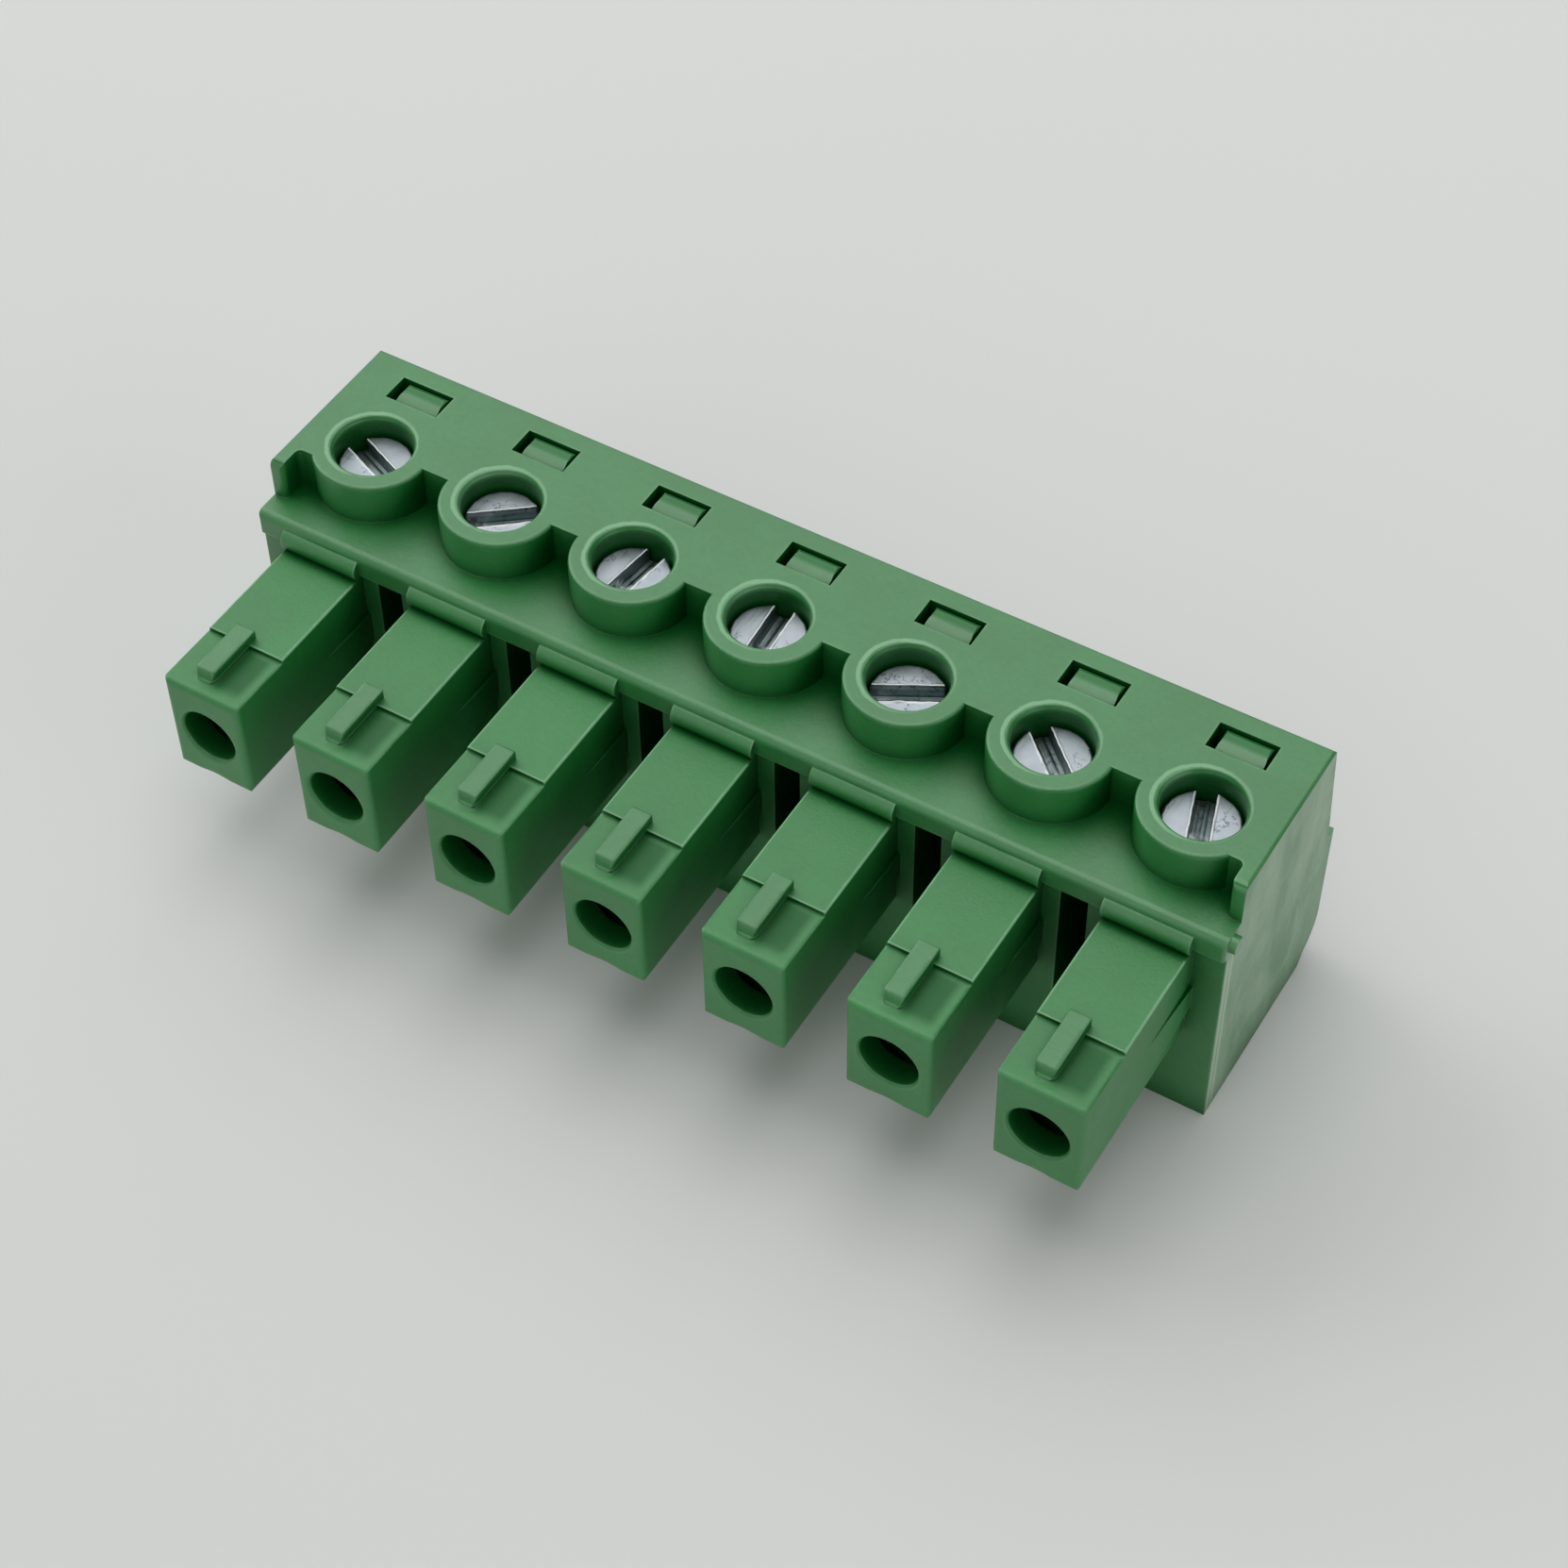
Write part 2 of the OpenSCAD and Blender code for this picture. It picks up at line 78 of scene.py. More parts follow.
# %% [markdown]
# The fingers, the ledge and the wells' mouths have neither a joint nor a box of their own. They are found
# among the housing's points instead: each size is the highest or lowest point of one small region.

# %% Measure the housing
points = [vertex.co for vertex in nodes["housing"].data.vertices]
level = 0.01 * MM  # points closer in height than this are on one face


def from_pole(point):
    """How far across a point is from the nearest pole's axis."""
    return abs((point.x / pitch + 0.5) % 1.0 - 0.5) * pitch


def from_well(point):
    """How far a point is from the nearest well's axis."""
    return math.hypot(from_pole(point), point.y - well_y)


front_y = min(point.y for point in points if point.z < 1 * MM)
fingers = [point for point in points if point.y < housing_low.y + 4 * MM and from_pole(point) > 1.2 * MM]
finger_half = max(from_pole(point) for point in fingers)
finger_top = max(point.z for point in fingers)
step_y = min(point.y for point in fingers if point.z > finger_top - level)
tip_y = min(point.y for point in points)
lip_z = min(point.z for point in points if point.y < front_y - 0.15 * MM and point.z > finger_top + 0.1 * MM)
mouths = [point for point in points if point.z > deck_z - level and from_well(point) < 1.7 * MM]
mouth_r = max(from_well(point) for point in mouths)
print(f"fingers {2 * finger_half / MM:.2f} mm wide, top at {finger_top / MM:.2f} mm")
print(f"tips from {tip_y / MM:.2f} to {step_y / MM:.2f} mm, front face at {front_y / MM:.2f} mm")
print(f"ledge lip at {lip_z / MM:.2f} mm, well mouths of radius {mouth_r / MM:.2f} mm")

# %% [markdown]
# ## Camera
# The view is from the front right, well above the deck. It could be framed with the lens's shift, but then
# the same lens would frame other views badly. So the camera looks straight at a point near the middle of the
# block and leans a little. A long lens keeps the row's far end nearly as large as its near end.

# %% Set the camera
eye = Vector((38.11, -58.50, 86.69)) * MM
aim = Vector((1.56, 0.80, 5.00)) * MM
lean = math.radians(-0.82)
camera_data = bpy.data.cameras.new("camera")
camera_data.lens = 76.36
camera_data.sensor_width = 36
camera_data.clip_start = 0.005
camera = bpy.data.objects.new("camera", camera_data)
camera.rotation_mode = "QUATERNION"
camera.rotation_quaternion = (aim - eye).to_track_quat("-Z", "Y") @ Quaternion((0, 0, 1), lean)
camera.location = eye
bpy.context.scene.collection.objects.link(camera)
bpy.context.scene.camera = camera
print(f"camera {(eye - aim).length / MM:.0f} mm from its aim")

# %% [markdown]
# ## Colours
# A screen brightens its colours along a curve, and the renderer reckons in plain amounts of light. A colour
# could be written in the renderer's numbers, but those say little to an eye. So each colour here is written
# as a screen would show it, from 0 to 255, and one helper turns it into light.

# %% Screen colours to light
def linear(red, green, blue):
    """The linear colour of a screen colour given as 0 to 255."""
    return tuple((c / 255 / 12.92) if c < 11 else ((c / 255 + 0.055) / 1.055) ** 2.4
                 for c in (red, green, blue)) + (1.0,)


print("screen grey 217 is", round(linear(217, 217, 217)[0], 3), "in linear light")

# %% [markdown]
# ## Node helpers
# A material is a small network of nodes. Blender's own calls take three or four lines for each node, so a
# finish with fifty nodes would be hard to read. This class keeps a node to one short call.

# %% Nodes and links
class Network:
    """One material's nodes, added one call at a time."""

    def __init__(self, name):
        self.material = bpy.data.materials.new(name)
        self.material.use_nodes = True
        self.tree = self.material.node_tree
        self.tree.nodes.clear()

    def add(self, kind, settings=None, **sockets):
        """Adds a node. A socket takes a value or another node's output; X_0 stands for input number 0."""
        node = self.tree.nodes.new("ShaderNode" + kind)
        for key, value in (settings or {}).items():
            setattr(node, key, value)
        for key, value in sockets.items():
            number = key.rpartition("_")[2]
            socket = node.inputs[int(number)] if number.isdigit() else node.inputs[key.replace("_", " ")]
            if isinstance(value, bpy.types.NodeSocket):
                self.tree.links.new(value, socket)
            else:
                socket.default_value = value
        return node

    def surface(self, kind):
        """Where each point of the surface is (Position) or which way it faces (True Normal)."""
        return self.add("NewGeometry").outputs[kind]

    def axes(self, vector):
        """A vector's X, Y and Z."""
        return self.add("SeparateXYZ", None, X_0=vector).outputs

    def math(self, operation, a, b=0.0, c=0.0):
        return self.add("Math", {"operation": operation}, X_0=a, X_1=b, X_2=c).outputs[0]

    def times(self, product, *factors):
        """The product of two or more masks: 1 only where all of them are 1."""
        for factor in factors:
            product = self.math("MULTIPLY", product, factor)
        return product

    def finish(self, shader):
        self.add("OutputMaterial", None, Surface=shader.outputs[0])
        return self.material


print("a node takes one call of", ", ".join(name for name in vars(Network) if not name.startswith("_")))

# %% [markdown]
# A finish is mostly masks. A mask is a number from 0 to 1 that says how much of a mark a place has. The
# masks could be painted on the mesh as colours, but then they could be no finer than its points. Here they
# are reckoned from a point's place and from noise, and a colour is laid on through each of them.

# %% Masks and colours
class Skin(Network):
    """A material that is built up from masks and colours."""

    def noise(self, scale, detail=2.0, where=None, rough=0.5):
        """Noise over the model's own metres; scale is in bumps a metre."""
        where = where or self.surface("Position")
        node = self.add("TexNoise", None, Vector=where, Scale=scale, Detail=detail, Roughness=rough)
        return node.outputs["Fac"]

    def ramp(self, value, zero, one):
        """A soft ramp that is 0 up to zero and 1 from one on, in whichever direction that lies."""
        node = self.add("MapRange", {"interpolation_type": "SMOOTHSTEP"}, X_0=value, X_1=zero, X_2=one)
        return node.outputs[0]

    def band(self, value, rise, fall):
        """1 between two borders. Each border is a ramp, given as its zero and its one."""
        return self.times(self.ramp(value, *rise), self.ramp(value, *fall))

    def blend(self, mask, first, second):
        """The first colour where the mask is 0 and the second where it is 1."""
        return self.add("Mix", {"data_type": "RGBA"}, X_0=mask, X_6=first, X_7=second).outputs[2]

    def paint(self, colour, over, mask, strength):
        """Lays a second colour over the first, with this strength where the mask is 1."""
        return self.blend(self.times(mask, strength), colour, over)

    def bump(self, height, distance, strength, normal):
        node = self.add("Bump", None, Height=height, Distance=distance, Strength=strength, Normal=normal)
        return node.outputs[0]


print("and a mask or a colour one of", ", ".join(name for name in vars(Skin) if not name.startswith("_")))

# %% [markdown]
# ## Moulded plastic
# The housing and its rear cover are nylon, dyed a mid green, with the look of a plastic that holds short
# fibres. The dye is deep and the sheen over it is pale, so a lit face looks milky and a shaded one looks
# rich. A pale paint colour could not do that, because it would stay pale in the shade. So the colour is
# written dark, and the sheen is written strong. The dye drifts a little over the part, is mottled in the
# small, and is flecked where a fibre lies at the surface.

# %% Dyed nylon
fibre_green = linear(96, 160, 112)
mottle_green = linear(14, 96, 36)
dye_scale, mottle_scale, fleck_scale = 330.0, 4200.0, 6500.0  # bumps a metre


def dyed_nylon(net, deep, light):
    """The dye's colour, between a deep and a light green, with its mottling and its flecks."""
    drift = net.ramp(net.noise(dye_scale, 4.0, rough=0.6), 0.36, 0.64)
    colour = net.blend(drift, deep, light)
    fleck = net.ramp(net.noise(fleck_scale, 2.0), 0.70, 0.78)
    colour = net.paint(colour, fibre_green, fleck, 0.12)
    mottle = net.ramp(net.noise(mottle_scale, 3.0, rough=0.6), 0.35, 0.65)
    return net.paint(colour, mottle_green, mottle, 0.22)


print(f"the dye drifts over {1 / dye_scale / MM:.1f} mm and is mottled over {1 / mottle_scale / MM:.2f} mm")

# %% [markdown]
# All seven poles carry the same marks, so a mark is described once. The helper below folds the whole row onto
# one pole: it gives a point's distance across from the nearest pole's axis. The marks could be painted by
# hand on an unwrapped mesh, but then they would be lost whenever the model is made anew. The noise isn't
# folded, so no two poles look alike.

# %% Fold the row onto one pole
def pole_places(net):
    """Distance across from the nearest pole's axis, then the y and z of the point."""
    place = net.axes(net.surface("Position"))
    steps = net.math("MULTIPLY_ADD", place["X"], 1 / pitch, 0.5)
    across = net.times(net.math("SUBTRACT", net.math("FRACT", steps), 0.5), pitch)
    return across, place["Y"], place["Z"]


print(f"{len(well_x)} poles, folded every {pitch / MM:.2f} mm")

# %% [markdown]
# No moulded edge is a knife edge. The CAD model rounds the large ones. The small ones could be bevelled in
# the mesh, but that would take many faces. A Bevel node turns only the shading's direction near an edge,
# which is all that such a small rounding shows. The tips of the fingers and the coding ribs are rounder.

# %% Soft edges
body_rounding = 0.045 * MM
more_at_tips = 0.17 * MM
more_at_ribs = 0.08 * MM


def soft_edges(net, radius):
    """Normals that turn gently over every edge, as a moulded edge does."""
    return net.add("Bevel", {"samples": 6}, Radius=radius).outputs[0]


def edge_radius(net):
    """Crisp edges on the body, and rounder ones on the fingers' lowered tips and coding ribs."""
    y, z = pole_places(net)[1:]
    tip = net.times(net.ramp(y, step_y - 0.10 * MM, step_y - 0.20 * MM), more_at_tips)
    rib = net.times(net.ramp(z, finger_top + 0.05 * MM, finger_top + 0.12 * MM),
                    net.ramp(y, front_y - 1 * MM, front_y - 2 * MM))
    wide = net.math("MAXIMUM", tip, net.times(rib, more_at_ribs))
    return net.math("ADD", wide, body_rounding)


print(f"edges rounded by {body_rounding / MM:.3f} mm, tips by {(body_rounding + more_at_tips) / MM:.3f} mm")

# %% [markdown]
# ## Rings round the wells
# Each well's mouth has a pale, ragged ring, such as a mould's core pin leaves when it slides out. A torus
# laid on the rim would look too even, and it would stand proud of the part. So the ring is a mask over the
# distance from the well's axis. Noise is added to that distance, which makes the ring's borders wander. A
# pale band inside the ring is a painted highlight of the mouth's chamfer, and both are painted paler on the
# lit side.

# %% Rings round the wells
rim_green = linear(120, 178, 130)
off_centre = 0.05  # the ring sits a little to one side
raggedness = 0.16 * MM


def well_rims(net):
    """How pale a well's mouth is: a ragged line, and a band of painted highlight inside it."""
    across, y, z = pole_places(net)
    along = net.math("SUBTRACT", y, well_y)
    squares = net.math("ADD", net.math("POWER", across, 2.0), net.math("POWER", along, 2.0))
    radius = net.math("MULTIPLY_ADD", across, off_centre, net.math("SQRT", squares))
    ragged = net.math("MULTIPLY_ADD", net.noise(1700.0, 4.0, rough=0.65), raggedness, radius)
    line = net.band(ragged, (mouth_r - 0.01 * MM, mouth_r + 0.02 * MM),
                    (mouth_r + 0.16 * MM, mouth_r + 0.12 * MM))
    pale_edge = net.times(net.ramp(ragged, mouth_r + 0.08 * MM, mouth_r + 0.02 * MM),
                     net.ramp(net.noise(500.0, 3.0), 0.40, 0.62))
    pale = net.math("MAXIMUM", line, net.times(pale_edge, 0.55))
    # painted highlight: the ring and its band are paler on the mouth's lit side
    lit_side = net.math("MULTIPLY_ADD", net.ramp(across, 0.8 * MM, -0.9 * MM), 0.65, 0.35)
    return net.times(pale, lit_side, net.ramp(z, deck_z - 0.34 * MM, deck_z - 0.12 * MM))


print(f"pale rings about {mouth_r / MM:.2f} mm from each well's axis")

# %% [markdown]
# ## Flash
# Flash is a hair of plastic that crept between the mould's halves. It runs along the upper edges of each
# finger and across the step down to its tip, and it hangs in specks on the ledge's lower edge. Thin strips of
# mesh could stand for it, but it is finer than any edge that the model has. So it is a pale mask that hugs
# the edge and breaks up in noise.

# %% Flash on the fingers and the ledge
flash_green = linear(140, 194, 150)
speck_green = linear(110, 170, 122)


def finger_flash(net):
    """1 along the upper edges of each finger's shank, and half along the step down to its tip."""
    across, y, z = pole_places(net)
    sway = net.times(net.noise(1500.0, 4.0, rough=0.65), 0.08 * MM)
    side = net.ramp(net.math("ADD", net.math("ABSOLUTE", across), sway),
                    finger_half - 0.03 * MM, finger_half - 0.01 * MM)
    step = net.ramp(net.math("SUBTRACT", y, sway), step_y + 0.03 * MM, step_y)
    upper = net.ramp(z, finger_top - 0.09 * MM, finger_top - 0.04 * MM)
    below_rib = net.ramp(z, finger_top + 0.03 * MM, finger_top + 0.02 * MM)
    shank = net.times(net.ramp(y, front_y - 0.5 * MM, front_y - 0.6 * MM), below_rib)
    return net.times(net.math("MAXIMUM", side, net.times(step, 0.5)), upper, shank)


def lip_flash(net):
    """Broken pale specks on the ledge's lower edge, where it spans the gap between two fingers."""
    across, y, z = pole_places(net)
    edge = net.band(z, (lip_z + 0.09 * MM, lip_z + 0.05 * MM), (lip_z - 0.03 * MM, lip_z - 0.01 * MM))
    front = net.ramp(y, front_y + 0.1 * MM, front_y - 0.1 * MM)
    gap = net.ramp(net.math("ABSOLUTE", across), finger_half, finger_half + 0.1 * MM)
    return net.times(edge, front, gap, net.ramp(net.noise(2100.0, 3.0), 0.5, 0.6))


print(f"flash at {finger_half / MM:.2f} mm from each pole's axis, and specks at {lip_z / MM:.2f} mm")

# %% [markdown]
# ## Cut ends
# The two end faces look torn and chalky, as if the block had been cut from a longer strip: a torn surface
# scatters light. Two fine pale lines, painted highlights, run down beside the front edge. One flat pale
# colour would look painted.
# So leaning streaks, round clouds and a strip of darker skin are laid over each other, and the streaks are
# handed on as a height, to roughen the surface too.

# %% Cut ends
chalk_deep, chalk_light = linear(84, 132, 92), linear(128, 164, 130)
chalk_cloud = linear(146, 174, 144)
chalk_skin = linear(70, 128, 82)
line_highlight = linear(176, 200, 172)
highlight_places = (0.18 * MM, 0.46 * MM)


def cut_ends(net):
    """1 on the two flat end faces."""
    place = net.axes(net.surface("Position"))
    facing = net.axes(net.surface("True Normal"))
    flat = net.ramp(net.math("ABSOLUTE", facing["X"]), 0.90, 0.97)
    return net.times(flat, net.ramp(net.math("ABSOLUTE", place["X"]), end_x - 0.10 * MM, end_x - 0.03 * MM))


def chalky_cut(net, colour, cut):
    """The colour with the cut ends' chalk laid over it, and the height of their torn surface."""
    leaning = net.add("Mapping", None, Vector=net.surface("Position"),
                      Rotation=(math.radians(-28), 0.0, 0.0), Scale=(1.0, 1.0, 0.30))
    streaks = net.noise(640.0, 6.0, leaning.outputs[0], 0.70)
    clouds = net.noise(430.0, 5.0, rough=0.62)
    place = net.axes(net.surface("Position"))
    chalk = net.blend(net.ramp(streaks, 0.36, 0.66), chalk_deep, chalk_light)
    chalk = net.paint(chalk, chalk_cloud, net.ramp(clouds, 0.44, 0.64), 0.6)
    swaying = net.math("MULTIPLY_ADD", net.noise(420.0, 3.0), 0.5 * MM, place["Y"])
    skin = net.ramp(net.math("ADD", swaying, net.times(place["Z"], -0.35)), 4.6 * MM, 6.0 * MM)
    chalk = net.paint(chalk, chalk_skin, skin, 0.5)
    inward = net.math("SUBTRACT", place["Y"], front_y)
    # painted highlights: two pale lines down beside the front edge
    for highlight_place in highlight_places:
        beside = net.math("ABSOLUTE", net.math("SUBTRACT", inward, highlight_place))
        line = net.times(net.ramp(beside, 0.10 * MM, 0.05 * MM), net.ramp(streaks, 0.30, 0.45),
                         net.ramp(place["Z"], lip_z, lip_z - 0.4 * MM))
        chalk = net.paint(chalk, line_highlight, line, 0.8)
    return net.paint(colour, chalk, cut, 0.92), net.times(streaks, cut)


print(f"ends cut at {end_x / MM:.2f} mm, with {len(highlight_places)} pale lines each")

# %% [markdown]
# ## Painted edge highlights and painted shade
# Outer edges get a painted highlight: a pale colour for the light that a rounded edge catches. Deep gaps look
# darker and greener than open faces, because light reaches them only from other green plastic. The renderer
# bounces light by itself, but the strong pale sheen still turns such gaps grey, so they get painted shade.
# Two masks find the places: the Bevel node shows where the surface turns, and Ambient Occlusion shows where
# other surfaces are near.

# %% Painted edge highlights and painted shade
edge_highlight_green = linear(112, 170, 122)
gap_shade_green = linear(0, 30, 5)
gap_reach = 2.4 * MM


def edge_highlights(net):
    """1 on outer edges, which get a pale painted highlight, and 0 on flat faces."""
    turned = net.add("VectorMath", {"operation": "DOT_PRODUCT"}, X_0=soft_edges(net, 0.15 * MM),
                     X_1=net.surface("True Normal")).outputs["Value"]
    return net.times(net.ramp(turned, 0.995, 0.90), net.ramp(net.noise(700.0, 4.0), 0.30, 0.62))


def sheltered(net):
    """1 in gaps and holes, where light arrives only from other plastic, and 0 on open faces."""
    openness = net.add("AmbientOcclusion", {"samples": 6}, Distance=gap_reach).outputs["AO"]
    return net.ramp(openness, 0.76, 0.42)


print(f"gaps are looked for within {gap_reach / MM:.1f} mm")

# %% [markdown]
# ## Low places
# The nubs in the deck's windows and the tops of the fingers' tips lie lower than what surrounds them, and
# they look a richer green, because less of the pale sheen comes off them. They could be sunk or dished in the
# mesh until the lamps miss them. Instead they get painted shade, a richer colour and a weaker sheen, with no
# new points, and both places are easy to find by their height.

# %% Low places
low_shade_green = linear(4, 70, 22)


def low_nubs(net):
    """1 on the tops of the nubs in the deck's windows."""
    z = pole_places(net)[2]
    return net.band(z, (deck_z - 0.035 * MM, deck_z - 0.045 * MM), (deck_z - 0.09 * MM, deck_z - 0.075 * MM))


def dished_tips(net):
    """1 on the low top of each tip, beside and in front of its rib."""
    across, y, z = pole_places(net)
    low = net.band(z, (finger_top - 0.04 * MM, finger_top - 0.06 * MM),
                   (finger_top - 0.16 * MM, finger_top - 0.12 * MM))
    inside = net.band(y, (tip_y + 0.25 * MM, tip_y + 0.8 * MM), (step_y, step_y - 0.3 * MM))
    side = net.band(across, (-0.2 * MM, 0.2 * MM), (finger_half - 0.12 * MM, finger_half - 0.5 * MM))
    return net.times(low, inside, side)


print(f"tips dished over {(step_y - tip_y) / MM:.2f} mm")

# %% [markdown]
# ## The green moulding
# Now the marks are laid over the dye, one on another: the dye first, then what the mould left, then the cut,
# then painted shade on the tips, painted highlights on the edges, painted shade on the nubs, and the painted
# shade of the gaps last. One image texture could hold all of it, but masks stay sharp at any distance.

# %% Colour of the moulding
def moulding_colour(net, deep, light, shade):
    """The dye with its marks, painted highlights and painted shade, and the height of the torn ends."""
    colour = dyed_nylon(net, deep, light)
    colour = net.paint(colour, rim_green, well_rims(net), 0.7)
    colour = net.paint(colour, flash_green, finger_flash(net), 0.7)
    colour = net.paint(colour, speck_green, lip_flash(net), 0.7)
    colour, torn = chalky_cut(net, colour, cut_ends(net))
    # painted shade on the low tops of the tips
    colour = net.paint(colour, low_shade_green, dished_tips(net), 0.7)
    # painted highlight on the open outer edges, kept out of the gaps
    pale_edge = net.times(edge_highlights(net), net.math("SUBTRACT", 1.0, shade))
    colour = net.paint(colour, edge_highlight_green, pale_edge, 0.55)
    # painted shade on the tops of the nubs
    colour = net.paint(colour, low_shade_green, low_nubs(net), 0.35)
    # painted shade: the colour turns deep green in gaps and holes
    return net.paint(colour, gap_shade_green, shade, 0.7), torn


print("the darkest green is", [round(part, 3) for part in gap_shade_green[:3]])

# %% [markdown]
# The sheen's tint is nearly white on open faces, as it is on any plastic. On the fingers, and more on the low
# tips and nubs, it is painted greener: painted shade in the reflection. In the gaps it is a deep green, a
# painted reflection that stands for the light that other green walls send in. The colour alone could be
# darkened there instead, but then the pale sheen is all that is left of the light, and the gap looks like
# grey stone.

# %% Tint of the sheen
open_sheen, finger_shade_sheen = linear(246, 250, 246), linear(216, 232, 218)
tip_shade_sheen, nub_shade_sheen = linear(60, 130, 80), linear(110, 160, 120)
gap_shade_sheen = linear(16, 84, 34)


def sheen_tint(net, shade):
    """Nearly white on open faces, painted greener on fingers and low places and deep green in gaps."""
    y, z = pole_places(net)[1:]
    on_fingers = net.times(net.ramp(y, front_y - 0.5 * MM, front_y - 0.9 * MM),
                           net.ramp(z, finger_top + 0.25 * MM, finger_top + 0.15 * MM))
    # painted shade in the reflection: greener on the fingers, and more so on the low tips and nubs
    sheen = net.blend(on_fingers, open_sheen, finger_shade_sheen)
    sheen = net.paint(sheen, tip_shade_sheen, dished_tips(net), 0.6)
    sheen = net.paint(sheen, nub_shade_sheen, low_nubs(net), 0.6)
    # painted reflection: deep green in the gaps, for the light that green walls send in
    return net.blend(shade, sheen, gap_shade_sheen)


print("sheen in the gaps is", [round(part, 3) for part in gap_shade_sheen[:3]])

# %% [markdown]
# The skin is satin: its roughness drifts a little, and a fine grain from the mould breaks up the highlights.
# The grain could be displaced geometry, but at a hundredth of a millimetre a Bump node is enough. The rear
# cover is a second moulding from the same dye, so it gets the same finish a touch darker.

# %% The two mouldings
satin, satin_drift = 0.37, 0.12
grain_height = 0.012 * MM
torn_height = 0.05 * MM


def green_moulding(name, deep, light):
    """Satin green nylon with the mould's marks, painted edge highlights and painted shade."""
    net = Skin(name)
    shade = sheltered(net)
    colour, torn = moulding_colour(net, deep, light, shade)
    sheen = sheen_tint(net, shade)
    dull = net.math("MULTIPLY_ADD", net.noise(900.0, 3.0), satin_drift, satin)
    normal = net.bump(net.noise(9000.0, 2.0), grain_height, 0.6, soft_edges(net, edge_radius(net)))
    normal = net.bump(torn, torn_height, 0.9, normal)
    shader = net.add("BsdfPrincipled", None, Base_Color=colour, Roughness=dull, Normal=normal,
                     IOR=1.65, Specular_IOR_Level=0.95, Specular_Tint=sheen)
    return net.finish(shader)


housing_green = green_moulding("housing green", linear(20, 116, 45), linear(24, 124, 51))
cover_green = green_moulding("cover green", linear(19, 113, 44), linear(23, 121, 50))
print("made", housing_green.name, "and", cover_green.name, "of", len(housing_green.node_tree.nodes), "nodes")

# %% [markdown]
# ## Zinc and tin
# The screws and cages are steel under bright zinc, which is bluish, slightly cloudy, finely crazed, and
# scratched where a screwdriver has slipped. The contacts are tinned, duller and warmer. A plain grey metal
# would pass from afar, but the screws are the only bright things on the part and draw the eye, so their
# plating gets clouds, cracks and scratches of its own.

# %% Plated metal
crack_grey = linear(84, 94, 98)
torn_dark, torn_bright = linear(120, 132, 130), linear(236, 240, 242)
slot_shade_green = linear(34, 78, 60)
burr_bright = linear(246, 248, 250)


def cloudy_plating(net, cloud, bright, dark):
    """Plating that drifts between two greys, with fine cracks where a noise crosses its middle."""
    colour = net.blend(net.ramp(cloud, 0.3, 0.75), dark, bright)
    crossing = net.math("ABSOLUTE", net.math("SUBTRACT", net.noise(1100.0, 4.0, rough=0.6), 0.5))
    crack = net.times(net.ramp(crossing, 0.014, 0.004), net.ramp(net.noise(800.0), 0.45, 0.54))
    return net.paint(colour, crack_grey, crack, 0.7)


def plated(name, bright, dark, roughness, scratch, slot=None):
    """Cloudy, crazed plating. slot gives three masks: painted shade, torn metal and bright burrs."""
    net = Skin(name)
    cloud = net.noise(1400.0, 4.0)
    colour = cloudy_plating(net, cloud, bright, dark)
    dull = net.math("MULTIPLY_ADD", cloud, 0.22, roughness)
    if slot:
        slot_shade, torn, burr = slot(net)
        flakes = net.ramp(net.noise(2600.0, 4.0, rough=0.7), 0.38, 0.62)
        colour = net.blend(torn, colour, net.blend(flakes, torn_dark, torn_bright))
        # painted shade: the inner slot floor is darkened to the green of the shaded well
        colour = net.blend(slot_shade, colour, slot_shade_green)
        colour = net.blend(burr, colour, burr_bright)
        dull = net.math("MULTIPLY_ADD", net.math("MAXIMUM", torn, burr), 0.35, dull)
    stretched = net.add("Mapping", None, Vector=net.surface("Position"),
                        Rotation=(0.3, 0.2, 0.7), Scale=(1.0, 0.08, 1.0))
    lines = net.noise(9000.0, 2.0, stretched.outputs[0])
    normal = net.bump(lines, scratch, 0.7, soft_edges(net, 0.04 * MM))
    return net.finish(net.add("BsdfPrincipled", None, Base_Color=colour, Metallic=1.0, Roughness=dull,
                              Normal=normal))


cage_zinc = plated("cage zinc", linear(190, 192, 190), linear(140, 142, 142), 0.28, 0.008 * MM)
contact_tin = plated("contact tin", linear(200, 198, 190), linear(160, 158, 150), 0.34, 0.006 * MM)
print("made", cage_zinc.name, "and", contact_tin.name)

# %% [markdown]
# A screw's slot shows three more things. Its lips have bright burrs, the inner part of its floor gets painted
# shade, a dark green for the shaded well reflected in it, and the outer part is bare torn metal. Each could
# be a material of its own, given to chosen faces, but the borders would then be straight. As masks over
# height and depth they can wander.

# %% The screws' slots
def slot_marks(net):
    """Painted shade on a slot floor's inner part, torn metal on its outer part, and burrs along its lips."""
    place = net.axes(net.surface("Position"))
    floor = net.ramp(place["Z"], screw_high.z - 0.08 * MM, screw_high.z - 0.22 * MM)
    swaying = net.math("MULTIPLY_ADD", net.noise(1200.0, 3.0), 0.5 * MM, place["Y"])
    inner = net.ramp(swaying, well_y - 0.10 * MM, well_y + 0.25 * MM)
    outer = net.math("SUBTRACT", 1.0, inner)
    burr = net.ramp(place["Z"], screw_high.z + 0.002 * MM, screw_high.z + 0.010 * MM)
    return net.times(floor, inner, 0.5), net.times(floor, outer), burr


screw_zinc = plated("screw zinc", linear(186, 194, 200), linear(168, 178, 184), 0.27, 0.008 * MM, slot_marks)
print("made", screw_zinc.name, "of", len(screw_zinc.node_tree.nodes), "nodes")

